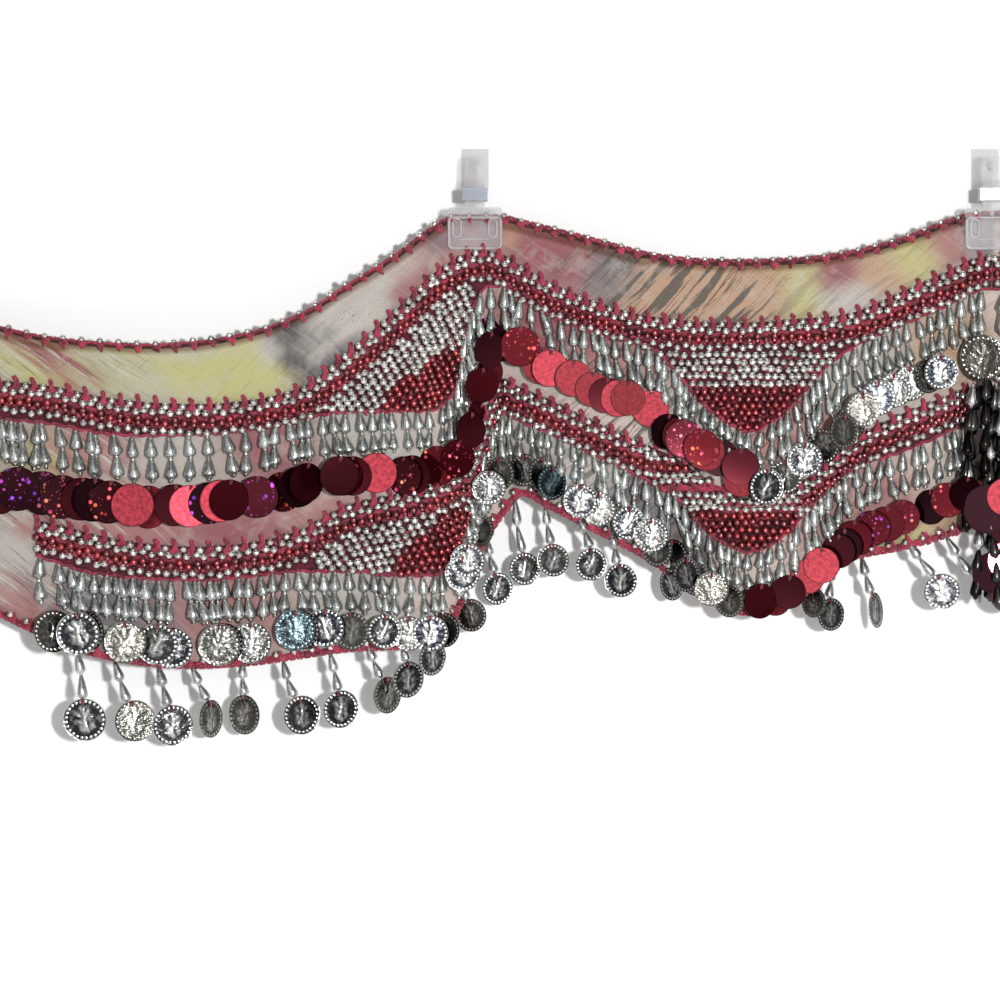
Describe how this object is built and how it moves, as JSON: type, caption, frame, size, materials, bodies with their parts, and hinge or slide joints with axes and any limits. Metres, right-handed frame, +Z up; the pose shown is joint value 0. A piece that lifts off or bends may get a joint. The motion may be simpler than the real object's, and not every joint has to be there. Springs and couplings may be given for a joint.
{
  "type": "belly dance hip scarf on wall hooks",
  "caption": "Long printed chiffon hip scarf with crocheted bead panels, drop beads, coins, paillettes and a hem fringe, hung flat by clear clips on wall hooks.",
  "frame": {"origin": "on the peg of the centre wall hook, in the plane of the hanging cloth, on the scarf's centre line", "axes": "+X to the viewer's right along the scarf, +Y from the worn outside to the wall, +Z up"},
  "size_m": [1.283, 0.043, 0.3014],
  "materials": {
    "chiffon": "sheer printed chiffon, brushed streaks of pale yellow, dusty pink, grey and off-white",
    "crochet": "crimson crochet thread",
    "beads": "mirror silver and deep red metallised round beads",
    "drops": "mirror silver drop beads",
    "paillette": "holographic wine and red paillettes",
    "coin": "pressed light metal coins, bright",
    "clear": "clear moulded plastic",
    "steel": "bright spring steel"
  },
  "bodies": {
    "root": {"cloth_panel": "chiffon", "top_edging": "crochet", "hem_edging": "crochet", "upper_bead_panel": "beads", "upper_drop_row": "drops", "lower_bead_panel": "beads", "lower_drop_row": "drops", "upper_paillettes_left": "paillette", "upper_coins_left": "coin", "lower_coins_left": "coin", "lower_paillettes_left": "paillette", "upper_paillettes_right": "paillette", "upper_coins_right": "coin", "lower_coins_right": "coin", "lower_paillettes_right": "paillette", "hem_fringe": "coin", "centre_medallion": "coin", "centre_tassel": "paillette", "clip_far_left_front_jaw": "clear", "clip_far_left_back_jaw": "clear", "clip_far_left_spring": "steel", "hook_far_left": "clear", "clip_left_front_jaw": "clear", "clip_left_back_jaw": "clear", "clip_left_spring": "steel", "hook_left": "clear", "clip_centre_front_jaw": "clear", "clip_centre_back_jaw": "clear", "clip_centre_spring": "steel", "hook_centre": "clear", "clip_right_front_jaw": "clear", "clip_right_back_jaw": "clear", "clip_right_spring": "steel", "hook_right": "clear", "clip_far_right_front_jaw": "clear", "clip_far_right_back_jaw": "clear", "clip_far_right_spring": "steel", "hook_far_right": "clear"}
  },
  "joints": []
}
